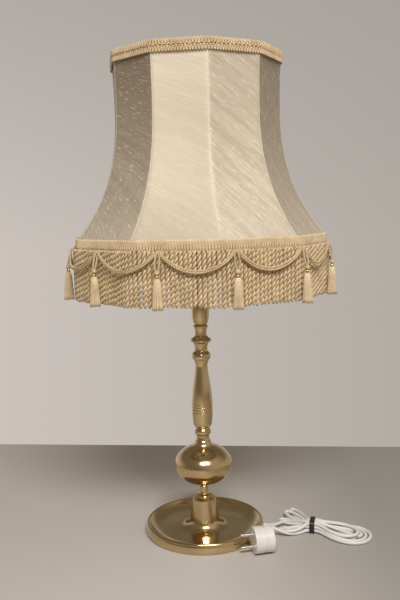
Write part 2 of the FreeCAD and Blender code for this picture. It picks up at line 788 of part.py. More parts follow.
def side_strip(inset, thickness, low, high, hem_z):
    face = strip_face(inset, thickness, low, high)
    face.translate(V(-wide / 2, 0, hem_z))
    return face.extrude(V(wide, 0, 0)).common(wedge(0, hem_z + 2 * shade_height))


def side_band(inner_apothem, thickness, z, height):
    band = Part.makeBox(wide, thickness, height, V(-wide / 2, -inner_apothem - thickness, z))
    return band.common(wedge(z - 1, height + 2))


def all_sides(strip):
    return [turned(strip, first_side_deg + k * side_step) for k in range(panel_count)]


def face_radius(degrees, apothem):
    """Radius of a side's flat face at an angle round the lamp."""
    off = (degrees - first_side_deg + side_step / 2) % side_step - side_step / 2
    return apothem / math.cos(math.radians(off))


def shade(seat_z):
    hem_z = seat_z - carrier_drop
    for k, panel in enumerate(all_sides(side_strip(0, cover_thickness, 0, shade_height, hem_z))):
        write(f"panel_{k + 1:02d}", panel)

    wire_in = cover_thickness + wire_gap + wire_frame_r
    lining_in = wire_in + wire_frame_r + wire_gap
    lining_top = shade_height - lining_top_gap
    lining = side_strip(lining_in, lining_thickness, lining_hem_gap, lining_top, hem_z)
    write("lining", compound(all_sides(lining)))

    rings = {}
    for node, height in (("frame_hem_ring", hem_ring_rise), ("frame_top_ring", shade_height - top_ring_drop)):
        apothem, up = skin(height, wire_in)
        corner = apothem / math.cos(half_side)
        points = [tuple(around(first_rib_deg + k * side_step, corner, hem_z + up))
                  for k in range(panel_count)]
        rings[node] = swept_tube(rounded_path(points, ring_corner_r, True)[0], wire_frame_r)
        write(node, rings[node])

    levels = [shade_height * k / outline_steps for k in range(outline_steps + 1)]
    rib_line = []
    for level in levels:
        apothem, up = skin(min(max(level, rib_hem_gap), shade_height - rib_top_gap), wire_in)
        rib_line.append((0, -apothem / math.cos(half_side), hem_z + up))
    rib = swept_tube(rounded_path(rib_line)[0], wire_frame_r)
    ribs = []
    for k in range(panel_count):
        one = turned(rib, first_rib_deg + k * side_step)
        ribs.append(one.cut(rings["frame_hem_ring"]).cut(rings["frame_top_ring"]))
    write("frame_ribs", Part.makeCompound([max(r.Solids, key=lambda s: s.Volume) for r in ribs]))

    carrier_r = holder_r + carrier_hole_gap
    clamp_r = holder_r + shade_ring_width
    washer = tube(clamp_r + carrier_over_ring, carrier_r, seat_z, carrier_thickness)
    apothem, up = skin(hem_ring_rise, wire_in)
    arm_end = V(0, -apothem / math.cos(half_side) + wire_frame_r / 2, hem_z + up)
    arm_start = V(0, -clamp_r - seat_gap - wire_frame_r, seat_z + carrier_thickness / 2)
    arm = Part.makeCylinder(wire_frame_r, (arm_end - arm_start).Length, arm_start, arm_end - arm_start)
    carrier = washer
    for k in range(arm_count):
        carrier = carrier.fuse(turned(arm, first_rib_deg + 2 * k * side_step))
    carrier = carrier.cut(rings["frame_hem_ring"]).cut(Part.makeCompound(ribs))
    write("carrier", max(carrier.Solids, key=lambda s: s.Volume))

    top_z = hem_z + shade_height + top_gimp_proud
    top_inner = top_r * math.cos(half_side) + trim_gap
    write("top_gimp", compound(all_sides(
        side_band(top_inner, top_gimp_thickness, top_z - top_gimp_height, top_gimp_height))))

    header_inner = hem_r * math.cos(half_side) + trim_gap
    header_z = hem_z + header_over_hem - header_height
    header = side_band(header_inner, header_thickness, header_z, header_height)
    write("header_gimp", compound(all_sides(header)))

    fringe_face = header_inner + header_thickness + fringe_proud
    fringe_z = header_z - fringe_length
    write("bullion_fringe", compound(all_sides(
        side_band(fringe_face - fringe_thickness, fringe_thickness, fringe_z, fringe_length))))

    tassels(fringe_face, header_z, fringe_z - tassel_below_fringe)
    swags(fringe_face, header_z)


def tassels(fringe_face, header_z, foot_z):
    """Each has a skirt, a bound head and a cord up to the header's lower edge."""
    skirt_z = foot_z + tassel_skirt
    head_z = skirt_z + tassel_head
    shape = Outline(0, foot_z).line(tassel_r, foot_z).line(tassel_top_r, skirt_z)
    shape.rise(tassel_head, tassel_cord_r, tassel_head_swell)
    top_z = header_z + tassel_cord_tuck
    one = shape.line(tassel_cord_r, top_z).line(0, top_z).solid()
    made = []
    for k in range(tassel_count):
        angle = first_tassel_deg + 360 / tassel_count * k
        copy = one.copy()
        copy.translate(around(angle, face_radius(angle, fringe_face) + tassel_r + tassel_off_fringe, 0))
        made.append(copy)
    write("tassels", compound(made))


def swags(fringe_face, header_z):
    """A rope in a shallow curve from each tassel to the next."""
    span = 360 / tassel_count
    made = []
    for k in range(tassel_count):
        points = []
        for share, dip in swag_places:
            angle = first_tassel_deg + (k + share) * span
            nearby = [angle + swag_round_deg * step / 4 for step in range(-4, 5)]
            reach = max(face_radius(a, fringe_face) for a in nearby) + swag_r + swag_off_fringe
            points.append(tuple(around(angle, reach, header_z - swag_dip * dip)))
        made.append(swept_tube(rounded_path(points)[0], swag_r))
    write("swags", compound(made))


def relief_point(share):
    """A point along the relief's bend, and the way it heads there, for a bush that faces -Y."""
    turn = math.radians(relief_turn_deg)
    bend_r = (relief_length - bush_flange) / turn
    start_y = -base_r - trim_gap - bush_flange
    angle = turn * share
    point = V(bend_r * (1 - math.cos(angle)), start_y - bend_r * math.sin(angle), bush_z)
    return point, V(math.sin(angle), -math.cos(angle), 0)


def cord_bush():
    """Grommet in the rim, with the tapered relief that the cord leaves by."""
    outward = V(0, -1, 0)
    flange_r = base_r + trim_gap
    inside = V(0, bush_flange - bush_inner_r, bush_z)
    inner = Part.makeCylinder(bush_flange_r, bush_flange, inside, outward)
    body = Part.makeCylinder(bush_body_r, flange_r - bush_inner_r + bush_flange, inside, outward)
    flange = Part.makeCylinder(bush_flange_r, bush_flange, V(0, -flange_r, bush_z), outward)
    (start, out), (middle, _), (tip, along) = (relief_point(share) for share in (0, 0.5, 1))
    bend = Part.Wire(Part.Arc(start, middle, tip).toShape())
    ends = [Part.Wire(Part.makeCircle(relief_root_r, start, out)),
            Part.Wire(Part.makeCircle(relief_tip_r, tip, along))]
    relief = bend.makePipeShell(ends, True, False)
    return turned(inner.fuse([body, flange, relief]).removeSplitter(), bush_deg)


def plug():
    """Round two-pin plug on its side. It is made pointing along -X with its front at x = 0 and then laid."""
    front = Part.makeCylinder(plug_r, plug_flange, V(), V(1, 0, 0))
    groove = Part.makeCylinder(plug_r - plug_groove_depth, plug_groove, V(plug_flange, 0, 0), V(1, 0, 0))
    grip_x = plug_flange + plug_groove
    back = Part.makeCylinder(plug_r - plug_grip_inset, plug_grip, V(grip_x, 0, 0), V(1, 0, 0))
    ends = (0, grip_x + plug_grip)
    front = front.makeFillet(plug_front_round_r, [e for e in front.Edges if len(e.Vertexes) == 1 and
                                                  abs(e.CenterOfMass.x - ends[0]) < 0.1])
    back = back.makeFillet(plug_back_round_r, [e for e in back.Edges if len(e.Vertexes) == 1 and
                                               abs(e.CenterOfMass.x - ends[1]) < 0.1])
    exit_centre = V(plug_exit_from_face, 0, 0)
    exit_boss = Part.makeCylinder(plug_exit_r, plug_r + plug_exit_length, exit_centre, V(0, 1, 0))
    body = front.fuse([groove, back, exit_boss]).removeSplitter()
    pins = []
    for side in (-1, 1):
        z = side * pin_pitch / 2
        pin = Part.makeCylinder(pin_r, pin_length, V(-pin_length, 0, z), V(1, 0, 0))
        pin = pin.makeFillet(pin_round_r, [e for e in pin.Edges if len(e.Vertexes) == 1 and
                                           e.CenterOfMass.x < -pin_length + 0.1])
        root = Part.makeCylinder(pin_root_r, pin_root, V(0, 0, z), V(1, 0, 0))
        body = body.cut(root)
        pins.append(pin.fuse(root))

    def laid(shape):
        copy = shape.copy()
        copy.rotate(V(), UP, plug_turn_deg)
        copy.translate(V(plug_face[0], plug_face[1], plug_r))
        return copy

    mouth = V(plug_exit_from_face, plug_r + plug_exit_length, 0)
    turn = math.radians(plug_turn_deg)
    mouth = V(mouth.x * math.cos(turn) - mouth.y * math.sin(turn) + plug_face[0],
              mouth.x * math.sin(turn) + mouth.y * math.cos(turn) + plug_face[1], plug_r)
    write("plug_body", laid(body))
    write("plug_pins", compound([laid(p) for p in pins]))
    return mouth


def tie_frame(shape):
    """Moves a shape made about the origin, with the bundle along X, to where the tie is."""
    copy = shape.copy()
    copy.rotate(V(), UP, tie_turn_deg)
    copy.translate(V(tie_centre[0], tie_centre[1], 0))
    return copy


def bundle_block(half_length, grow, low_z):
    """A rounded bar along X round the bundle's section, larger all round by grow."""
    width = bundle_width + 2 * grow
    block = Part.makeBox(2 * half_length, width, bundle_height + 2 * grow, V(-half_length, -width / 2, low_z))
    long_edges = [e for e in block.Edges if abs(e.tangentAt(e.FirstParameter).x) > 0.9]
    return block.makeFillet(bundle_round_r + grow, long_edges)


def hank_and_tie():
    """The hank as one solid of its outer shape: two fanned ends and a waist that the tie goes round."""

    def lobe(points, height):
        spline = Part.BSplineCurve()
        spline.interpolate([V(x, y, 0) for x, y in points], PeriodicFlag=True)
        return Part.Face(Part.Wire(spline.toShape())).extrude(V(0, 0, height))

    bundle_z = tie_thickness + trim_gap
    room_half = tie_width / 2 + trim_gap
    room = Part.makeBox(2 * room_half, 4 * bundle_width, 4 * bundle_height,
                        V(-room_half, -2 * bundle_width, -bundle_height))
    lobes = lobe(hank_left, hank_left_height).fuse(lobe(hank_right, hank_right_height))
    waist = tie_frame(bundle_block(bundle_reach, 0, bundle_z))
    hank = lobes.cut(tie_frame(room)).fuse(waist).removeSplitter()

    outer = bundle_block(tie_width / 2, tie_thickness + trim_gap, 0)
    inner = bundle_block(tie_width, trim_gap, tie_thickness)
    return hank, tie_frame(outer.cut(inner))


def cord_tube(node, points, hank):
    path, radii = rounded_path(points)
    whole = swept_tube(path, cord_r)
    print(node, "from", [round(c, 1) for c in points[0]], "length", round(path.Length, 1))
    print("    radii", [round(r, 1) for r in radii])
    print("    volume share", round(whole.Volume / (math.pi * cord_r ** 2 * path.Length), 4))
    outside = whole.cut(hank)
    write(node, max(outside.Solids, key=lambda s: s.Volume))


def main():
    write("felt_pad", felt_pad())
    write("base_dish", base_dish())
    write("base_weight", base_weight())
    cap_z = column()
    cap_floor_top_z = cap_z + cap_floor
    rod_and_nuts(cap_floor_top_z + nut_height + rod_over_nut, cap_floor_top_z)
    seat_z = holder(cap_z)
    shade(seat_z)
    write("cord_bush", cord_bush())
    mouth = plug()
    hank, tie = hank_and_tie()
    write("cord_hank", hank)
    write("cord_tie", tie)
    tip = turned(Part.Vertex(relief_point(1)[0]), bush_deg).Point
    cord_tube("cord_lead", [tuple(tip)] + lead_points, hank)
    cord_tube("cord_tail", [tuple(mouth)] + tail_points, hank)


main()
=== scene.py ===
import math
import random

import bpy
import numpy as np
from mathutils import Matrix, Vector


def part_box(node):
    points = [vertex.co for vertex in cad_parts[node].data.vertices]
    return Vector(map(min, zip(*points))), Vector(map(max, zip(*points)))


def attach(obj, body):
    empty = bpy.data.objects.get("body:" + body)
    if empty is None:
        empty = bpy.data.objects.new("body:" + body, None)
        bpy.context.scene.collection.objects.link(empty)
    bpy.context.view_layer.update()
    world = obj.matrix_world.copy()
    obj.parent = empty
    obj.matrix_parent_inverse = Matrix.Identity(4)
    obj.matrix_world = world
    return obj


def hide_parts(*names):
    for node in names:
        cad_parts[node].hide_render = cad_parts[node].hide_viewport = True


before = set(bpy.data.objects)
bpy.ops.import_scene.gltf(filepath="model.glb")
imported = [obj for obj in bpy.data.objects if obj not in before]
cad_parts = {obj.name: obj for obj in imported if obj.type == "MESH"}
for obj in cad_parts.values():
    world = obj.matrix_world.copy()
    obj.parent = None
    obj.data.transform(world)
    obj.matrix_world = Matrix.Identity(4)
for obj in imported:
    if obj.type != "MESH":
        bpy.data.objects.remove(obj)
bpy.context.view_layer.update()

# Candlestick lamp with a fringed silk shade. The lamp's sizes are in millimetres, and the studio and the
# scene are in metres. Angles round the lamp are degrees from -Y towards +X.

mm = 0.001


# helpers that make meshes

def addPiece(name, points, faces, smooth=True):
    mesh = bpy.data.meshes.new(name)
    mesh.from_pydata([tuple(p) for p in points], [], [tuple(f) for f in faces])
    mesh.polygons.foreach_set("use_smooth", [smooth] * len(mesh.polygons))
    mesh.update()
    piece = bpy.data.objects.new(name, mesh)
    bpy.context.scene.collection.objects.link(piece)
    return piece


def dress(piece, body, finish, nodes=()):
    piece.data.materials.clear()
    piece.data.materials.append(finish)
    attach(piece, body)
    if nodes:
        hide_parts(*nodes)
    return piece


def sweepThreads(paths, radius, sides=6, closed=False):
    # tubes along many paths at once; paths is (threads, steps, 3) and the radius may vary along them
    paths = np.asarray(paths, float)
    threads, steps = paths.shape[:2]
    radius = np.broadcast_to(np.asarray(radius, float), (threads, steps))
    ahead = np.roll(paths, -1, 1) - np.roll(paths, 1, 1)
    if not closed:
        ahead[:, 0] = paths[:, 1] - paths[:, 0]
        ahead[:, -1] = paths[:, -1] - paths[:, -2]
    ahead /= np.linalg.norm(ahead, axis=2, keepdims=True)
    side = np.empty_like(paths)
    lean = np.where(np.abs(ahead[:, 0, 2:3]) < 0.9, np.array([[0, 0, 1.0]]), np.array([[0, 1.0, 0]]))
    side[:, 0] = np.cross(ahead[:, 0], lean)
    for k in range(1, steps):
        last = side[:, k - 1]
        side[:, k] = last - ahead[:, k] * np.sum(last * ahead[:, k], 1, keepdims=True)
        side[:, k] /= np.linalg.norm(side[:, k], axis=1, keepdims=True)
    side[:, 0] /= np.linalg.norm(side[:, 0], axis=1, keepdims=True)
    other = np.cross(ahead, side)
    turn = np.linspace(0, 2 * math.pi, sides, endpoint=False)
    ring = (side[:, :, None] * np.cos(turn)[None, None, :, None]
            + other[:, :, None] * np.sin(turn)[None, None, :, None])
    points = paths[:, :, None] + ring * radius[:, :, None, None]
    faces = []
    spans = steps if closed else steps - 1
    for t in range(threads):
        base = t * steps * sides
        for k in range(spans):
            near, far = base + k * sides, base + (k + 1) % steps * sides
            for s in range(sides):
                n = (s + 1) % sides
                faces.append((near + s, near + n, far + n, far + s))
        if not closed:
            faces.append(tuple(base + s for s in reversed(range(sides))))
            faces.append(tuple(base + (steps - 1) * sides + s for s in range(sides)))
    return points.reshape(-1, 3), faces


def joinParts(parts):
    points, faces, count = [], [], 0
    for partPoints, partFaces in parts:
        points.append(np.asarray(partPoints, float))
        faces += [tuple(i + count for i in face) for face in partFaces]
        count += len(partPoints)
    return np.concatenate(points), faces


def latheRing(outline, steps=64):
    # a closed outline of radius and height, turned about the axis
    angles = np.linspace(0, 2 * math.pi, steps, endpoint=False)
    points = [(r * math.sin(a), -r * math.cos(a), z) for a in angles for r, z in outline]
    count = len(outline)
    faces = []
    for k in range(steps):
        here, there = k * count, (k + 1) % steps * count
        for i in range(count):
            j = (i + 1) % count
            faces.append((here + i, here + j, there + j, there + i))
    return points, faces


# helpers that make materials

def feed(target, value):
    if isinstance(value, Signal):
        target.id_data.links.new(value.socket, target)
    else:
        target.default_value = value


class Signal:
    # wraps a socket, so that shader maths reads as plain expressions

    def __init__(self, socket):
        self.socket = socket

    def maths(self, operation, *values):
        node = self.socket.id_data.nodes.new("ShaderNodeMath")
        node.operation = operation
        for target, value in zip(node.inputs, values):
            feed(target, value)
        return Signal(node.outputs[0])

    def __add__(self, other):
        return self.maths("ADD", self, other)

    def __sub__(self, other):
        return self.maths("SUBTRACT", self, other)

    def __rsub__(self, other):
        return self.maths("SUBTRACT", other, self)

    def __mul__(self, other):
        return self.maths("MULTIPLY", self, other)

    __radd__ = __add__
    __rmul__ = __mul__


class NodeMaker:
    # adds nodes to one tree, of a material or of the world

    def __init__(self, tree):
        self.tree = tree

    def node(self, kind, settings=None, inputs=None, output=0):
        made = self.tree.nodes.new(kind)
        for label, value in (settings or {}).items():
            setattr(made, label, value)
        for label, value in (inputs or {}).items():
            feed(made.inputs[label], value)
        return Signal(made.outputs[output])

    def mixed(self, share, first, second):
        # the colour version of the Mix node has its two colours on sockets 6 and 7 and its result on output 2
        first, second = ((*c, 1) if isinstance(c, tuple) else c for c in (first, second))
        return self.node("ShaderNodeMix", {"data_type": "RGBA"}, {0: share, 6: first, 7: second}, 2)

    def graded(self, value, low, high, start=0.0, end=1.0):
        return self.node("ShaderNodeMapRange", inputs={"Value": value, "From Min": low, "From Max": high,
                                                       "To Min": start, "To Max": end})


class Finish(NodeMaker):
    # a material with one Principled shader

    def __init__(self, name, **fixed):
        self.material = bpy.data.materials.new(name)
        self.material.use_nodes = True
        super().__init__(self.material.node_tree)
        self.shader = next(n for n in self.tree.nodes if n.type == "BSDF_PRINCIPLED")
        for label, value in fixed.items():
            self.shader.inputs[label.replace("_", " ")].default_value = value

    def places(self):
        return self.node("ShaderNodeTexCoord", output="Object")

    def stretched(self, places, scale):
        return self.node("ShaderNodeMapping", inputs={"Vector": places, "Scale": scale})

    def noise(self, places, scale, detail=3.0, roughness=0.5):
        return self.node("ShaderNodeTexNoise", inputs={"Vector": places, "Scale": scale, "Detail": detail,
                                                       "Roughness": roughness})

    def bumped(self, height, distance, strength=1.0):
        return self.node("ShaderNodeBump", inputs={"Height": height, "Distance": distance,
                                                   "Strength": strength})

    def set(self, **wires):
        for label, value in wires.items():
            feed(self.shader.inputs[label.replace("_", " ")], value)
        return self.material


# the camera stands where the photograph was taken

photoCamera = {"lens": 43.55, "sensor": 36.0, "back": 1104.2, "height": 505.1, "pitch": 7.11, "roll": -1.27}


def addCamera():
    data = bpy.data.cameras.new("camera")
    data.lens = photoCamera["lens"]
    data.sensor_width = photoCamera["sensor"]
    camera = bpy.data.objects.new("camera", data)
    bpy.context.scene.collection.objects.link(camera)
    pitch, roll = (math.radians(photoCamera[k]) for k in ("pitch", "roll"))
    turned = Matrix.Rotation(math.pi / 2 - pitch, 4, "X")
    placed = Matrix.Translation((0, -photoCamera["back"] * mm, photoCamera["height"] * mm))
    camera.matrix_world = placed @ turned @ Matrix.Rotation(roll, 4, "Z")
    bpy.context.scene.camera = camera


addCamera()
print("camera placed")


# mains cord: lead, hank and tail are one length of flex

flex = {
    "radius": 2.65,
    "exit": (111.93, -5.0, 6.2),
    "lead": [(119.0, 0.5, 6.2), (125.3, 6.6, 5.2), (131.0, 13.2, 4.4)],
    # from the plug's mouth to the hank
    "tail": [(85.8, -52.1, 19.5), (87.3, -44.2, 19.1), (92.0, -37.7, 17.7), (98.9, -33.7, 15.5),
             (107.9, -32.8, 12.4), (117.8, -34.4, 8.6), (128.0, -34.8, 5.0), (138.0, -32.0, 3.1),
             (148.0, -28.4, 2.7)],
    "mouth": (87.44, -60.0, 19.5),
    "length": 1.84,
}
hank = {
    "tie": (169.0, -16.5),
    "turn": -14.0,
    "pitch": 5.35,       # between strands under the tie
    "low": 4.1,          # height of the lowest strands there
    "half": 8.0,         # straight stretch each side of the tie
    "loopPoints": 9,
    "fullness": 0.7,     # how far each loop is a teardrop
    # side, slot it leaves by, slot it comes back by, reach, half width, aim in degrees, resting height
    "loops": [
        ("right", (-0.5, 2), (0.5, 2), 62, 11, -33, 3.0),
        ("left", (0.5, 2), (0.5, 1), 52, 9, 141, 3.0),
        ("right", (0.5, 1), (-0.5, 1), 70, 15, -20, 3.0),
        ("left", (-0.5, 1), (-0.5, 0), 46, 7, 182, 3.0),
        ("right", (-0.5, 0), (0.5, 0), 57, 17, -28, 3.0),
        ("left", (0.5, 0), (1.5, 1), 58, 9, 120, 8.2),
        ("right", (1.5, 1), (-1.5, 1), 77, 32, -24, 3.0),
        ("left", (-1.5, 1), (-1.5, 2), 36, 7, 196, 8.2),
        ("right", (-1.5, 2), (1.5, 2), 65, 25, -27, 8.4),
        ("left", (1.5, 2), (1.5, 0), 70, 9, 104, 3.0),
        ("right", (1.5, 0), (-1.5, 0), 84, 38, -24, 2.8),
    ],
}


def flexRoute():
    turn = math.radians(hank["turn"])
    along, across = Vector((math.cos(turn), math.sin(turn), 0)), Vector((-math.sin(turn), math.cos(turn), 0))
    tie = Vector((*hank["tie"], 0))

    def slot(place, side):
        column, row = place
        level = hank["low"] + row * hank["pitch"]
        return tie + along * side * hank["half"] + across * column * hank["pitch"] + Vector((0, 0, level))

    route = [Vector(flex["exit"])] + [Vector(p) for p in flex["lead"]]
    route.append(slot(hank["loops"][0][1], -1))
    for side, leave, back, reach, spread, aim, rest in hank["loops"]:
        out = 1 if side == "right" else -1
        start, end = slot(leave, out), slot(back, out)
        root = (start + end) / 2
        way = Vector((math.cos(math.radians(aim)), math.sin(math.radians(aim)), 0))
        wide = Vector((-way.y, way.x, 0))
        hand = 1 if (start - end).dot(wide) > 0 or leave[0] == back[0] else -1
        if side == "left" and leave[0] == back[0]:
            hand = -1
        route.append(start)
        for k in range(1, hank["loopPoints"]):
            angle = 2 * math.pi * k / hank["loopPoints"]
            far = (1 - math.cos(angle)) / 2
            bulge = math.sin(angle) * abs(math.sin(angle / 2)) ** hank["fullness"] * hand
            level = start.z + (end.z - start.z) * k / hank["loopPoints"]
            height = rest + (level - rest) * (1 - far) ** 2
            point = Vector((root.x, root.y, 0)) + way * reach * far + wide * spread * bulge
            route.append(Vector((point.x, point.y, height)))
        route.append(end)
    route.append(slot(hank["loops"][-1][2], -1))
    route += [Vector(p) for p in reversed(flex["tail"])] + [Vector(flex["mouth"])]
    return [p * mm for p in route]


def addFlex():
    curve = bpy.data.curves.new("flex", "CURVE")
    curve.dimensions = "3D"
    curve.bevel_depth = flex["radius"] * mm
    curve.bevel_resolution = 4
    curve.resolution_u = 8
    curve.use_fill_caps = True
    spline = curve.splines.new("NURBS")
    route = flexRoute()
    spline.points.add(len(route) - 1)
    for point, place in zip(spline.points, route):
        point.co = (*place, 1)
    spline.order_u = 3
    spline.use_endpoint_u = True
    piece = bpy.data.objects.new("mains_flex", curve)
    bpy.context.scene.collection.objects.link(piece)
    return piece


def flexFinish():
    finish = Finish("whiteFlex", Roughness=0.38)
    grime = finish.noise(finish.places(), 45.0)
    return finish.set(Base_Color=finish.mixed(grime, (0.70, 0.68, 0.64), (0.80, 0.785, 0.76)),
                      Roughness=finish.graded(grime, 0.3, 0.7, 0.32, 0.46),
                      Normal=finish.bumped(finish.noise(finish.places(), 700.0), 0.0001, 0.3))


flexPiece = dress(addFlex(), "lamp", flexFinish(), ["cord_lead", "cord_hank", "cord_tail"])
print("flex laid")


# floor, background and light

studio = {
    "floorReach": 3.0,
    "floorBack": (0.68, 0.14),     # how far back its far edge is at its left and right ends
    "floorFront": 3.0,
    "floorThickness": 0.03,
    "floorDrop": 0.0002,           # keeps it clear of the lamp's underside
    "floorColor": (0.555, 0.512, 0.468),
    # painted shade: the table top darkens towards this colour on its right
    "floorRightPaintedShade": (0.37, 0.345, 0.31),
    "wallLeft": (0.60, 0.545, 0.505),
    "wallRight": (0.44, 0.405, 0.37),
    "wallTop": (0.35, 0.325, 0.30),
    "ceiling": (0.17, 0.15, 0.125),
    "roomLeft": (0.20, 0.175, 0.14),      # the side that the viewer stands on
    "roomRight": (0.46, 0.41, 0.345),
    "keyPlace": (0.2, -1.55, 1.85),
    "keySize": (1.1, 0.42),
    "keyPower": 43.0,
    "aim": (0.0, 0.0, 0.42),
}


def addFloor():
    reach, front = studio["floorReach"], studio["floorFront"]
    backLeft, backRight = studio["floorBack"]
    outline = [(-reach, -front), (reach, -front), (reach, backRight), (-reach, backLeft)]
    corners = [(x, y, z) for z in (-studio["floorThickness"], 0) for x, y in outline]
    faces = [(3, 2, 1, 0), (4, 5, 6, 7)] + [(k, (k + 1) % 4, (k + 1) % 4 + 4, k + 4) for k in range(4)]
    floor = addPiece("table_top", corners, faces, False)
    finish = Finish("tableTop", Roughness=0.6)
    cloud = finish.noise(finish.places(), 1.6)
    across = finish.node("ShaderNodeSeparateXYZ", inputs={"Vector": finish.places()}, output="X")
    pale = finish.mixed(cloud, studio["floorColor"], tuple(c * 1.12 for c in studio["floorColor"]))
    # painted shade: the table top grows darker towards its right
    tone = finish.mixed(finish.graded(across, 0.0, 0.28), pale, studio["floorRightPaintedShade"])
    floor.data.materials.append(finish.set(Base_Color=tone))
    floor.location.z = -studio["floorDrop"]


def addWorld():
    # a pale wall behind the lamp, and a darker room in front of it, which the brass mirrors
    world = bpy.data.worlds.new("studio")
    bpy.context.scene.world = world
    world.use_nodes = True
    sky = NodeMaker(world.node_tree)
    heading = sky.node("ShaderNodeTexCoord", output="Generated")
    x, y, z = (sky.node("ShaderNodeSeparateXYZ", inputs={"Vector": heading}, output=axis) for axis in "XYZ")
    wall = sky.mixed(sky.graded(x, -0.3, 0.3), studio["wallLeft"], studio["wallRight"])
    wall = sky.mixed(sky.graded(z, -0.05, 0.32, 0.0, 0.7), wall, studio["wallTop"])
    wall = sky.mixed(sky.graded(z, 0.27, 0.42), wall, studio["ceiling"])
    room = sky.mixed(sky.graded(x, -0.3, 0.6), studio["roomLeft"], studio["roomRight"])
    color = sky.mixed(sky.graded(y, -0.25, 0.45), room, wall)
    background = next(n for n in world.node_tree.nodes if n.type == "BACKGROUND")
    feed(background.inputs["Color"], color)
    background.inputs["Strength"].default_value = 1.0


def addSoftLight(name, place, size, power):
    data = bpy.data.lights.new(name, "AREA")
    data.shape = "RECTANGLE"
    data.size, data.size_y = size
    data.energy = power
    light = bpy.data.objects.new(name, data)
    bpy.context.scene.collection.objects.link(light)
    light.location = place
    away = Vector(studio["aim"]) - Vector(place)
    light.rotation_euler = away.to_track_quat("-Z", "Y").to_euler()


def addStudio():
    addFloor()
    addWorld()
    addSoftLight("key", studio["keyPlace"], studio["keySize"], studio["keyPower"])
    bpy.context.scene.view_settings.view_transform = "Standard"


addStudio()
print("studio set")


# finishes of the hard pieces

def brassFinish():
    finish = Finish("polishedBrass", Metallic=1.0, Coat_Weight=0.25, Coat_Roughness=0.08)
    places = finish.places()
    cloud = finish.noise(places, 18.0, 4.0)
    turned = finish.noise(finish.stretched(places, (6.0, 6.0, 900.0)), 1.0, 2.0)
    specks = finish.noise(places, 420.0, 2.0)
    tone = finish.mixed(finish.graded(cloud, 0.35, 0.7), (0.60, 0.44, 0.225), (0.72, 0.555, 0.30))
    tone = finish.mixed(finish.graded(specks, 0.66, 0.74), tone, (0.38, 0.25, 0.12))
    rough = finish.graded(cloud, 0.3, 0.7, 0.10, 0.18) + turned * 0.05
    return finish.set(Base_Color=tone, Roughness=rough, Normal=finish.bumped(turned, 0.00006, 0.25))


def plainMetal(name, low, high, rough, metallic=1.0):
    finish = Finish(name, Metallic=metallic)
    cloud = finish.noise(finish.places(), 60.0, 4.0)
    return finish.set(Base_Color=finish.mixed(cloud, low, high),
                      Roughness=finish.graded(cloud, 0.3, 0.7, rough * 0.85, rough * 1.15),
                      Normal=finish.bumped(finish.noise(finish.places(), 900.0), 0.00005, 0.4))


def moulded(name, low, high, rough, grain=900.0, depth=0.00006):
    finish = Finish(name)
    cloud = finish.noise(finish.places(), 50.0, 3.0)
    return finish.set(Base_Color=finish.mixed(cloud, low, high),
                      Roughness=finish.graded(cloud, 0.3, 0.7, rough * 0.85, rough * 1.2),
                      Normal=finish.bumped(finish.noise(finish.places(), grain), depth, 0.5))


brass = brassFinish()
steel = plainMetal("zincSteel", (0.52, 0.53, 0.54), (0.66, 0.66, 0.66), 0.38)
iron = plainMetal("castIron", (0.06, 0.06, 0.065), (0.12, 0.12, 0.12), 0.75, 0.6)
nickel = plainMetal("nickelPins", (0.66, 0.64, 0.60), (0.78, 0.76, 0.72), 0.22)
capMetal = plainMetal("bulbCap", (0.60, 0.60, 0.60), (0.72, 0.72, 0.72), 0.32)
lacquer = moulded("whiteLacquer", (0.70, 0.69, 0.65), (0.80, 0.79, 0.75), 0.35)
holderBlack = moulded("holderBlack", (0.018, 0.016, 0.015), (0.032, 0.029, 0.027), 0.42)
barBlack = moulded("barBlack", (0.02, 0.02, 0.02), (0.035, 0.035, 0.035), 0.28)
porcelain = moulded("porcelain", (0.72, 0.70, 0.66), (0.80, 0.79, 0.76), 0.45)
opal = moulded("opalGlass", (0.82, 0.80, 0.76), (0.88, 0.87, 0.84), 0.16)
plugWhite = moulded("plugWhite", (0.74, 0.69, 0.63), (0.82, 0.78, 0.73), 0.30, 600.0, 0.00008)
bushWhite = moulded("bushWhite", (0.62, 0.60, 0.56), (0.72, 0.70, 0.67), 0.5)
sheath = moulded("wireSheath", (0.10, 0.045, 0.02), (0.16, 0.08, 0.04), 0.45)
tieBlack = moulded("tieBlack", (0.008, 0.008, 0.008), (0.02, 0.02, 0.02), 0.42)
felt = moulded("feltPad", (0.03, 0.05, 0.03), (0.07, 0.10, 0.06), 0.95, 350.0, 0.0006)

carried = [
    (brass, ["base_dish", "neck", "ball", "lower_knop", "baluster", "bead_knop", "disc_knop", "small_knop",
             "candle_cup", "sleeve_tube", "screw_shell", "centre_contact"]),
    (iron, ["base_weight"]),
    (steel, ["base_nut", "base_washer", "threaded_rod", "top_nut"]),
    (holderBlack, ["holder_cap", "holder_shell", "lower_shade_ring", "upper_shade_ring"]),
    (barBlack, ["switch_bar"]),
    (porcelain, ["holder_insert"]),
    (sheath, ["inner_wires"]),
    (capMetal, ["bulb_tip", "bulb_cap"]),
    (opal, ["bulb_glass"]),
    (lacquer, ["frame_top_ring", "frame_hem_ring", "frame_ribs", "carrier"]),
    (bushWhite, ["cord_bush"]),
    (plugWhite, ["plug_body"]),
    (nickel, ["plug_pins"]),
    (tieBlack, ["cord_tie"]),
]


def dressCarried():
    for finish, nodes in carried:
        for node in nodes:
            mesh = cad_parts[node].data
            mesh.materials.clear()
            mesh.materials.append(finish)


dressCarried()
print("hard pieces finished")

feltPad = {"round": 0.5, "waver": 0.25, "waves": 23}


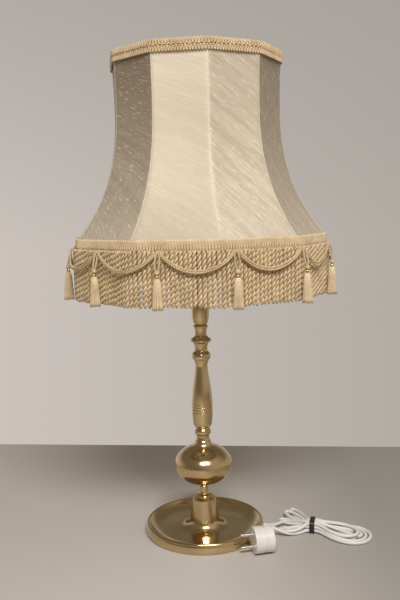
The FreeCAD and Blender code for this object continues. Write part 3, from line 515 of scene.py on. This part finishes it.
def addFelt():
    # the pressed disc, with a softened and slightly wavering edge
    low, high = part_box("felt_pad")
    r, top = high.x / mm, high.z / mm
    ease = feltPad["round"]
    outline = [(0.01, 0), (r - ease, 0), (r, ease), (r, top - ease), (r - ease, top), (0.01, top)]
    points, faces = latheRing(outline, 120)
    placed = []
    for x, y, z in points:
        out = math.hypot(x, y)
        waver = feltPad["waver"] * (math.sin(feltPad["waves"] * math.atan2(y, x)) - 1) * (out / r) ** 8
        placed.append((x * (1 + waver / out) * mm, y * (1 + waver / out) * mm, z * mm))
    return addPiece("felt_disc", placed, faces)


dress(addFelt(), "lamp", felt, ["felt_pad"])


# the cloth follows the outline of its frame

shade = {
    "sides": 10,
    "firstRib": 8.2,
    "hemR": 190.0,
    "waistR": 125.0,
    "topR": 127.2,
    "height": 262.0,
    "waistUp": 186.0,
    "flare": 2.4,
    "cover": 0.8,
    "rows": 60,
    "columns": 22,
    "sag": 1.6,           # how far the stretched cloth dips in between its ribs
    "seamTurn": 0.9,      # the edge of each panel turns in towards the seam
    "seamR": 0.5,
    "seamSink": 1.0,      # seams lie this far inside the ribs' line, and stop as far short of its ends
    "gimpGap": 0.1,       # cloth to the braids on it
}
sideStep = 360 / shade["sides"]
halfSide = math.radians(sideStep / 2)
firstSide = shade["firstRib"] + sideStep / 2
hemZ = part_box("panel_01")[0].z / mm


def ribRadius(height):
    rise = shade["waistUp"]
    if height < rise:
        return shade["waistR"] + (shade["hemR"] - shade["waistR"]) * (1 - height / rise) ** shade["flare"]
    above = (height - rise) / (shade["height"] - rise)
    return shade["waistR"] + (shade["topR"] - shade["waistR"]) * above ** 2


def polar(degrees, radius, z):
    a = math.radians(degrees)
    return np.array((radius * math.sin(a), -radius * math.cos(a), z))


def sideRadius(degrees, apothem, soften=10):
    # radius of the ten-sided outline at an angle, with its corners eased
    off = abs((degrees - firstSide + sideStep / 2) % sideStep - sideStep / 2) / (sideStep / 2)
    eased = off - off ** soften / soften
    return apothem / math.cos(math.radians(eased * sideStep / 2))


def outlineNormal(degrees, apothem):
    ahead = polar(degrees + 0.3, sideRadius(degrees + 0.3, apothem), 0)
    behind = polar(degrees - 0.3, sideRadius(degrees - 0.3, apothem), 0)
    way = ahead - behind
    way /= np.linalg.norm(way)
    return np.array((way[1], -way[0], 0)), way


def silkFinish():
    finish = Finish("slubSilk", Metallic=0.25, Sheen_Weight=0.15, Sheen_Roughness=0.4)
    weave = finish.node("ShaderNodeAttribute", {"attribute_name": "weave"}, output="Vector")
    paintedLight = finish.node("ShaderNodeAttribute", {"attribute_name": "paintedLight"}, output="Fac")
    grain = finish.node("ShaderNodeAttribute", {"attribute_name": "grain"}, output="Fac")
    fine = finish.noise(finish.stretched(weave, (26.0, 820.0, 1.0)), 1.0, 3.0, 0.6)
    slub = finish.noise(finish.stretched(weave, (75.0, 620.0, 1.0)), 1.0, 2.0, 0.5)
    band = finish.noise(finish.stretched(weave, (4.0, 75.0, 1.0)), 1.0, 3.0, 0.55)
    warp = finish.noise(finish.stretched(weave, (1500.0, 60.0, 1.0)), 1.0, 1.0)
    tone = finish.mixed(finish.graded(band, 0.38, 0.62) * grain, (0.81, 0.705, 0.55), (0.62, 0.53, 0.405))
    tone = finish.mixed(finish.graded(fine, 0.34, 0.70, 0.0, 0.75) * grain, tone, (0.44, 0.36, 0.26))
    # painted shade: each panel's colour is darkened towards this brown where its painted-light share is low
    tone = finish.mixed(1 - paintedLight, tone, (0.25, 0.185, 0.12))
    tone = finish.mixed(finish.graded(slub, 0.60, 0.70, 0.0, 0.75) * grain, tone, (0.88, 0.79, 0.64))
    height = (fine * 0.5 + slub * 0.8 + warp * 0.25) * (grain * 0.7 + 0.3)
    return finish.set(Base_Color=tone, Roughness=finish.graded(fine, 0.3, 0.7, 0.58, 0.72),
                      Normal=finish.bumped(height, 0.0006, 0.5))


# each panel's silk: slope of its slubs in degrees below level, painted light at its top and at its hem (lower
# values paint the panel darker, a painted shade), and depth of its grain
panelSilk = [(42, 0.66, 0.82, 0.9), (62, 0.02, 0.70, 0.9), (30, 0.8, 1.0, 0.7), (36, 0.4, 0.85, 0.9),
             (42, 0.9, 1.0, 0.6), (28, 0.5, 0.85, 0.9), (34, 0.95, 1.0, 0.5), (30, 0.4, 0.85, 0.9),
             (26, 0.0, 0.72, 1.0), (24, 0.86, 0.54, 0.3)]


def panelSurface(k, height, across, inset):
    # across runs from -1 at one rib to 1 at the next
    radius = ribRadius(height)
    near = min(max(height, 1.0), shade["height"] - 1.0)
    slope = (ribRadius(near + 0.5) - ribRadius(near - 0.5)) * math.cos(halfSide)
    tilt = math.hypot(slope, 1.0)
    dip = shade["sag"] * (1 - across ** 2) * math.sin(math.pi * height / shade["height"]) ** 0.6
    dip += shade["seamTurn"] * abs(across) ** 30
    out = radius * math.cos(halfSide) - (inset + dip) / tilt
    wide = radius * math.sin(halfSide) * across
    angle = math.radians(firstSide + k * sideStep)
    point = (out * math.sin(angle) + wide * math.cos(angle), -out * math.cos(angle) + wide * math.sin(angle),
             hemZ + height + (inset + dip) * slope / tilt)
    return np.array(point) * mm, wide


def addPanel(k):
    rows, columns = shade["rows"], shade["columns"]
    slope, topPaintedLight, hemPaintedLight, grain = panelSilk[k]
    slant = math.radians(slope)
    spread = [math.sin(math.pi * (c / columns - 0.5)) for c in range(columns + 1)]
    points, weave, paintedLight = [], [], []
    for inset in (0.0, shade["cover"]):
        for r in range(rows + 1):
            height = shade["height"] * r / rows
            for across in spread:
                place, wide = panelSurface(k, height, across, inset)
                points.append(place)
                bend = slant + 0.35 * (0.55 - height / shade["height"])
                run = height * math.cos(bend) + wide * math.sin(bend)
                along = wide * math.cos(bend) - height * math.sin(bend)
                weave.append((along * mm, run * mm + k * 0.37, 0))
                # painted light: the share blends from the panel's top to its hem, and lower values paint
                # painted shade
                paintedLight.append(hemPaintedLight + (topPaintedLight - hemPaintedLight) * height / shade["height"])
    width = columns + 1
    layer = (rows + 1) * width
    faces = []
    for r in range(rows):
        for c in range(columns):
            a = r * width + c
            faces.append((a, a + 1, a + width + 1, a + width))
            faces.append(tuple(layer + i for i in (a + width, a + width + 1, a + 1, a)))
    rim = list(range(width)) + [r * width + columns for r in range(1, rows + 1)]
    rim += [rows * width + c for c in range(columns - 1, -1, -1)]
    rim += [r * width for r in range(rows - 1, 0, -1)]
    for a, b in zip(rim, rim[1:] + rim[:1]):
        faces.append((b, a, a + layer, b + layer))
    piece = addPiece(f"silk_panel_{k + 1:02d}", points, faces)
    layerData = piece.data.attributes.new("weave", "FLOAT_VECTOR", "POINT")
    layerData.data.foreach_set("vector", np.array(weave, np.float32).ravel())
    for name, values in (("paintedLight", paintedLight), ("grain", [grain] * len(points))):
        shared = piece.data.attributes.new(name, "FLOAT", "POINT")
        shared.data.foreach_set("value", np.array(values, np.float32))
    return piece


silk = silkFinish()
for k in range(shade["sides"]):
    panel = dress(addPanel(k), "shade", silk, [f"panel_{k + 1:02d}"])
print("silk panels stretched")


def addSeams():
    # the piping-like ridge where two panels meet on a rib
    paths = []
    for k in range(shade["sides"]):
        degrees = shade["firstRib"] + k * sideStep
        line = []
        for r in range(shade["rows"] + 1):
            height = shade["seamSink"] + (shade["height"] - 2 * shade["seamSink"]) * r / shade["rows"]
            line.append(polar(degrees, ribRadius(height) - shade["seamSink"], hemZ + height) * mm)
        paths.append(line)
    return addPiece("rib_seams", *sweepThreads(paths, shade["seamR"] * mm, 6))


def seamFinish():
    finish = Finish("seamSilk", Roughness=0.6, Metallic=0.2)
    cloud = finish.noise(finish.places(), 300.0)
    return finish.set(Base_Color=finish.mixed(cloud, (0.60, 0.52, 0.40), (0.78, 0.69, 0.55)))


dress(addSeams(), "shade", seamFinish())


def liningFinish():
    finish = Finish("liningCloth", Roughness=0.8)
    places = finish.places()
    weave = finish.noise(finish.stretched(places, (900.0, 900.0, 900.0)), 1.0, 2.0)
    cloud = finish.noise(places, 8.0)
    return finish.set(Base_Color=finish.mixed(cloud, (0.70, 0.66, 0.57), (0.80, 0.77, 0.69)),
                      Normal=finish.bumped(weave, 0.0003, 0.5))


lining = {"inset": 5.3, "thickness": 0.6, "low": 6.0, "high": 261.0, "rows": 36, "steps": 12, "pleat": 0.35}


def addLining():
    # one sleeve of cloth, with small gathers towards its top
    rows, steps = lining["rows"], lining["steps"] * shade["sides"]
    points = []
    for inset in (lining["inset"], lining["inset"] + lining["thickness"]):
        for r in range(rows + 1):
            height = lining["low"] + (lining["high"] - lining["low"]) * r / rows
            for s in range(steps):
                k, across = s // lining["steps"], (s % lining["steps"]) / lining["steps"] * 2 - 1
                gather = lining["pleat"] * (1 + math.cos(s * math.pi)) * (r / rows) ** 2
                points.append(panelSurface(k, height, across, inset + gather)[0])
    layer = (rows + 1) * steps
    faces = []
    for r in range(rows):
        for s in range(steps):
            a, b = r * steps + s, r * steps + (s + 1) % steps
            faces.append((a, b, b + steps, a + steps))
            faces.append((layer + a + steps, layer + b + steps, layer + b, layer + a))
    for s in range(steps):
        b = (s + 1) % steps
        faces.append((b, s, layer + s, layer + b))
        c, d = rows * steps + s, rows * steps + b
        faces.append((c, d, layer + d, layer + c))
    return addPiece("lining_sleeve", points, faces)


liningPiece = dress(addLining(), "shade", liningFinish(), ["lining"])
print("lining hung")


# braids, fringe, tassels and swags

def goldFinish(name="goldThread", light=(0.76, 0.575, 0.335), dark=(0.53, 0.38, 0.20)):
    finish = Finish(name, Roughness=0.55, Sheen_Weight=0.3, Sheen_Roughness=0.4)
    places = finish.places()
    cloud = finish.noise(places, 60.0, 3.0)
    fibres = finish.noise(finish.stretched(places, (1.0, 1.0, 0.35)), 1900.0, 2.0)
    tone = finish.mixed(finish.graded(cloud, 0.3, 0.7), dark, light)
    tone = finish.mixed(finish.graded(fibres, 0.35, 0.65, 0.0, 0.45), tone, tuple(c * 0.62 for c in dark))
    return finish.set(Base_Color=tone, Roughness=finish.graded(fibres, 0.3, 0.7, 0.45, 0.65),
                      Normal=finish.bumped(fibres, 0.0003, 0.6))


gold = goldFinish()
goldLight = goldFinish("goldFloss", (0.86, 0.675, 0.43), (0.64, 0.475, 0.27))

bullion = {
    "cords": 196,
    "plyR": 1.75,
    "helixR": 1.58,
    "period": 14.4,
    "stations": 66,
    "sides": 6,
    "uneven": 1.6,        # how far the feet differ in height
    "lean": 0.6,          # how far a cord's foot hangs to the side
    "swing": 0.4,         # and how far it hangs in or out
    "stray": 0.04,        # share of a step that a cord is out of place
    "twist": 0.9,         # each cord starts its twist so far past the last, in radians
    "twistStray": 0.35,
    "band": 2.6,          # header braid's depth, on which the fringe is sewn
    "depth": 4.6,
    "skin": 0.2,          # cords keep this far inside the fringe's face
    "seed": 5,
}
fringeLow, fringeHigh = (corner.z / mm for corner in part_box("bullion_fringe"))
headerFace = shade["hemR"] * math.cos(halfSide) + shade["gimpGap"]
fringeFace = headerFace + bullion["band"] + bullion["depth"]


def addBullion():
    # each cord is one ply that runs down, turns at the foot and twists back up round itself
    draw = random.Random(bullion["seed"])
    middle = fringeFace - bullion["plyR"] - bullion["helixR"] - bullion["skin"]
    paths = []
    for c in range(bullion["cords"]):
        degrees = 360 * (c + draw.uniform(-1, 1) * bullion["stray"]) / bullion["cords"]
        normal, way = outlineNormal(degrees, middle)
        top = polar(degrees, sideRadius(degrees, middle), fringeHigh)
        foot = fringeLow + bullion["plyR"] + draw.uniform(0.0, bullion["uneven"])
        lean = way * draw.uniform(-1, 1) * bullion["lean"] + normal * draw.uniform(-1, 1) * bullion["swing"]
        phase = draw.uniform(-1, 1) * bullion["twistStray"] + bullion["twist"] * c
        long = fringeHigh - foot - bullion["plyR"]
        down, up = [], []
        for r in range(bullion["stations"]):
            share = r / (bullion["stations"] - 1)
            centre = top + lean * share - np.array((0, 0, long * share))
            angle = phase + 2 * math.pi * share * long / bullion["period"]
            out = (way * math.cos(angle) + normal * math.sin(angle)) * bullion["helixR"]
            down.append((centre + out) * mm)
            up.append((centre - out) * mm)
        turnBack = (top + lean - np.array((0, 0, long + bullion["plyR"]))) * mm
        paths.append(down + [turnBack] + up[::-1])
    return addPiece("bullion_cords", *sweepThreads(paths, bullion["plyR"] * mm, bullion["sides"]))


dress(addBullion(), "shade", gold, ["bullion_fringe"])
print("bullion fringe twisted")

header = {
    "loops": 300,
    "threadR": 0.9,
    "ground": 0.8,        # thickness of the woven ground
    "sunk": 0.05,         # threads press into it
    "groundLow": 0.6,
    "loopLow": 1.4,
    "high": 0.8,          # ground and loops stop this far under the top
    "edgeOut": 1.6,       # twisted cord along its lower edge
    "edgeUp": 1.2,
    "edgePly": 0.5,
    "edgeHelix": 0.42,
    "edgePeriod": 3.0,
}
headerLow, headerHigh = (corner.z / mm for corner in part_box("header_gimp"))


def serpentine(loops, threadR, face, low, high, perLoop=12):
    # one thread that goes up and down all round, on a face at that distance from the axis
    path = []
    total = loops * perLoop
    for i in range(total):
        turn = i / perLoop
        degrees = 360 * turn / loops
        swing = math.cos(2 * math.pi * turn)
        eased = math.copysign(abs(swing) ** 0.45, swing)
        z = (low + high) / 2 + (high - low) / 2 * eased
        path.append(polar(degrees, sideRadius(degrees, face + threadR), z) * mm)
    return sweepThreads([path], threadR * mm, 5, closed=True)


def bandRing(face, thickness, low, high, steps=200):
    # the woven ground that the loops are stitched to
    profile = [(face, low), (face + thickness, low), (face + thickness, high), (face, high)]
    points, faces = [], []
    for s in range(steps):
        degrees = 360 * s / steps
        points += [polar(degrees, sideRadius(degrees, r), z) * mm for r, z in profile]
    for s in range(steps):
        here, there = 4 * s, 4 * ((s + 1) % steps)
        for i in range(4):
            j = (i + 1) % 4
            faces.append((here + i, there + i, there + j, here + j))
    return points, faces


def twistedRope(centre, plyR, helixR, period, hand=1, plies=2, sides=6):
    # plies twisted round a centreline given as points in millimetres
    centre = np.asarray(centre, float)
    ahead = np.gradient(centre, axis=0)
    ahead /= np.linalg.norm(ahead, axis=1, keepdims=True)
    run = np.concatenate([[0], np.cumsum(np.linalg.norm(np.diff(centre, axis=0), axis=1))])
    side = np.cross(ahead, (0, 0, 1.0))
    side /= np.linalg.norm(side, axis=1, keepdims=True)
    other = np.cross(ahead, side)
    paths = []
    for ply in range(plies):
        angle = hand * 2 * math.pi * run / period + 2 * math.pi * ply / plies
        out = side * np.cos(angle)[:, None] + other * np.sin(angle)[:, None]
        paths.append((centre + out * helixR) * mm)
    return sweepThreads(paths, plyR * mm, sides)


def addHeader():
    ground, high = header["ground"], headerHigh - header["high"]
    parts = [bandRing(headerFace, ground, headerLow + header["groundLow"], high)]
    parts.append(serpentine(header["loops"], header["threadR"], headerFace + ground - header["sunk"],
                            headerLow + header["loopLow"], high))
    ring = [polar(d, sideRadius(d, headerFace + header["edgeOut"]), headerLow + header["edgeUp"])
            for d in np.linspace(0, 360, 500)]
    parts.append(twistedRope(ring, header["edgePly"], header["edgeHelix"], header["edgePeriod"]))
    return addPiece("header_braid", *joinParts(parts))


dress(addHeader(), "shade", goldLight, ["header_gimp"])

topTrim = {
    "groups": 64,
    "perGroup": 3,
    "threadR": 0.85,
    "ground": 0.8,
    "sunk": 0.05,
    "groundLow": 1.5,
    "groundHigh": 1.2,
    "groundGap": 1.8,     # each half of the ground starts this far from the middle
    "loopEnd": 0.9,
    "loopGap": 1.2,
    "waveUp": 1.7,
    "waveOut": 1.6,
    "waveDeep": 0.5,
    "waveSteps": 8,
}
topLow, topHigh = (corner.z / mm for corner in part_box("top_gimp"))
topFace = shade["topR"] * math.cos(halfSide) + shade["gimpGap"]


def addTopTrim():
    loops = topTrim["groups"] * topTrim["perGroup"]
    ground, threadR = topTrim["ground"], topTrim["threadR"]
    middle = (topLow + topHigh) / 2
    parts = [bandRing(topFace, ground, topLow + topTrim["groundLow"], middle - topTrim["groundGap"]),
             bandRing(topFace, ground, middle + topTrim["groundGap"], topHigh - topTrim["groundHigh"])]
    for low, high in ((topLow + topTrim["loopEnd"], middle - topTrim["loopGap"]),
                      (middle + topTrim["loopGap"], topHigh - topTrim["loopEnd"])):
        parts.append(serpentine(loops, threadR, topFace + ground - topTrim["sunk"], low, high))
    # the middle row: two waves that cross and leave small holes
    steps = topTrim["waveSteps"]
    count = topTrim["groups"] * steps
    for hand in (1, -1):
        wave = []
        for i in range(count):
            degrees, swing = 360 * i / count, 2 * math.pi * i / steps
            z = middle + hand * topTrim["waveUp"] * math.sin(swing)
            face = topFace + topTrim["waveOut"] + hand * topTrim["waveDeep"] * math.cos(swing)
            wave.append(polar(degrees, sideRadius(degrees, face), z) * mm)
        parts.append(sweepThreads([wave], threadR * mm, 5, closed=True))
    return addPiece("top_braid", *joinParts(parts))


dress(addTopTrim(), "shade", gold, ["top_gimp"])
print("braids stitched")

tassel = {
    "count": 12,
    "first": 14.1,
    "r": 7.5,
    "topR": 4.8,
    "skirt": 40.0,
    "offFringe": 0.5,
    "strands": 34,
    "strandR": 0.62,
    "uneven": 1.5,        # how far the strands' ends differ in height
    "sway": 0.4,
    "beadR": 2.5,
    "beadUp": 3.4,        # above the skirt
    "knotR": 3.6,
    "knotUp": 8.6,
    "knotSquash": 0.9,
    "loopUp": 9.0,        # two cords go from here up to the braid
    "loopShort": 1.5,     # and end this far under its top
    "loopSwell": 2.4,
    "loopApart": 0.9,
    "loopPly": 0.75,
    "loopHelix": 0.65,
    "loopPeriod": 5.0,
    "seed": 11,
}
tasselLow, tasselHigh = (corner.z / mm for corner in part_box("tassels"))


def tasselCentre(degrees):
    # the face of a side is flat here, with its corners as they are in the frame
    off = (degrees - firstSide + sideStep / 2) % sideStep - sideStep / 2
    reach = fringeFace / math.cos(math.radians(off)) + tassel["r"] + tassel["offFringe"]
    return polar(degrees, reach, 0)


def ballPart(centre, radius, squash=1.0, rows=8, steps=12):
    points = [centre + np.array((0, 0, radius * squash))]
    for r in range(1, rows):
        a = math.pi * r / rows
        for s in range(steps):
            b = 2 * math.pi * s / steps
            points.append(centre + radius * np.array((math.sin(a) * math.cos(b), math.sin(a) * math.sin(b),
                                                      math.cos(a) * squash)))
    points.append(centre - np.array((0, 0, radius * squash)))
    faces = [(0, 1 + s, 1 + (s + 1) % steps) for s in range(steps)]
    for r in range(rows - 2):
        for s in range(steps):
            a, b = 1 + r * steps + s, 1 + r * steps + (s + 1) % steps
            faces.append((a, a + steps, b + steps, b))
    last, base = len(points) - 1, 1 + (rows - 2) * steps
    faces += [(last, base + (s + 1) % steps, base + s) for s in range(steps)]
    return [p * mm for p in points], faces


def addTassels():
    draw = random.Random(tassel["seed"])
    skirts, cords, beads = [], [], []
    skirtTop = tasselLow + tassel["skirt"]
    for k in range(tassel["count"]):
        centre = tasselCentre(tassel["first"] + 360 / tassel["count"] * k)
        normal = centre / np.linalg.norm(centre)
        way = np.array((-normal[1], normal[0], 0))
        paths = []
        for s in range(tassel["strands"]):
            angle = 2 * math.pi * (s + draw.uniform(-0.2, 0.2)) / tassel["strands"]
            out = np.array((math.cos(angle), math.sin(angle), 0))
            short = draw.uniform(0, 1) * tassel["uneven"]
            sway = draw.uniform(-1, 1) * tassel["sway"]
            path = []
            for r in range(9):
                share = r / 8
                z = skirtTop + 1.5 - (tassel["skirt"] + 1.5 - tassel["strandR"] - short) * share
                wide = tassel["topR"] * 0.5 + (tassel["topR"] * 0.42) * min(share * 5, 1) ** 0.5
                wide += (tassel["r"] - tassel["topR"] - tassel["strandR"] * 0.6) * share ** 1.2
                path.append((centre + out * wide + np.array((-out[1], out[0], 0)) * sway * share
                             + np.array((0, 0, z))) * mm)
            paths.append(path)
        skirts.append(sweepThreads(paths, tassel["strandR"] * mm, 5))
        core = [(0.01, skirtTop + 0.5), (tassel["topR"] * 0.8, skirtTop - 2),
                (tassel["topR"] * 0.95, skirtTop - 14), (tassel["r"] * 0.86, tasselLow + 1.6),
                (0.01, tasselLow + 1.6)]
        corePoints, coreFaces = latheRing(core, 16)
        skirts.append(([(np.array(p) + centre) * mm for p in corePoints], coreFaces))
        # bead, knot and the two cords that go up to the braid
        beads.append(ballPart(centre + np.array((0, 0, skirtTop + tassel["beadUp"])), tassel["beadR"]))
        cords.append(ballPart(centre + np.array((0, 0, skirtTop + tassel["knotUp"])), tassel["knotR"],
                              tassel["knotSquash"]))
        low, high = skirtTop + tassel["loopUp"], tasselHigh - tassel["loopShort"]
        for hand in (-1, 1):
            line = []
            for r in range(10):
                share = r / 9
                swell = math.sin(math.pi * share) * tassel["loopSwell"] + tassel["loopApart"]
                back = -(tassel["r"] - 1.0) * share ** 1.5
                rise = np.array((0, 0, low + (high - low) * share))
                line.append(centre + way * hand * swell + normal * back + rise)
            fineLine = [np.array([np.interp(t, range(10), [p[i] for p in line]) for i in range(3)])
                        for t in np.linspace(0, 9, 40)]
            cords.append(twistedRope(fineLine, tassel["loopPly"], tassel["loopHelix"], tassel["loopPeriod"],
                                     hand))
    return (addPiece("tassel_skirts", *joinParts(skirts)), addPiece("tassel_knots", *joinParts(cords)),
            addPiece("tassel_beads", *joinParts(beads)))


skirts, knots, beads = addTassels()
dress(skirts, "shade", goldLight, ["tassels"])
dress(knots, "shade", gold, ["tassels"])
gilt = plainMetal("giltBead", (0.72, 0.52, 0.20), (0.86, 0.68, 0.34), 0.16)
dress(beads, "shade", gilt, ["tassels"])

swag = {
    "dip": 24.0,
    "drop": 2.0,          # its ends hang this far under the braid
    "cordR": 1.5,
    "ply": 0.55,          # shares of cordR: ply radius, radius of its helix, and half the cords' distance
    "helix": 0.5,
    "apart": 0.92,
    "period": 7.5,
    "points": 60,
    "off": 3.5,
    "from": 0.03,         # shares of the way between two tassels
    "share": 0.94,
}


def addSwags():
    # two cords twisted opposite ways, side by side, from each tassel to the next
    span = 360 / tassel["count"]
    cordR = swag["cordR"]
    parts = []
    for k in range(tassel["count"]):
        for hand in (1, -1):
            line = []
            for p in range(swag["points"]):
                share = p / (swag["points"] - 1)
                degrees = tassel["first"] + (k + swag["from"] + share * swag["share"]) * span
                dip = swag["dip"] * (1 - (2 * share - 1) ** 2) ** 0.9
                reach = sideRadius(degrees, fringeFace + swag["off"], 6)
                level = headerLow - swag["drop"] - dip + hand * cordR * swag["apart"]
                line.append(polar(degrees, reach, level))
            parts.append(twistedRope(line, cordR * swag["ply"], cordR * swag["helix"], swag["period"], hand))
    return addPiece("swag_cords", *joinParts(parts))


dress(addSwags(), "shade", gold, ["swags"])
print("tassels and swags hung")
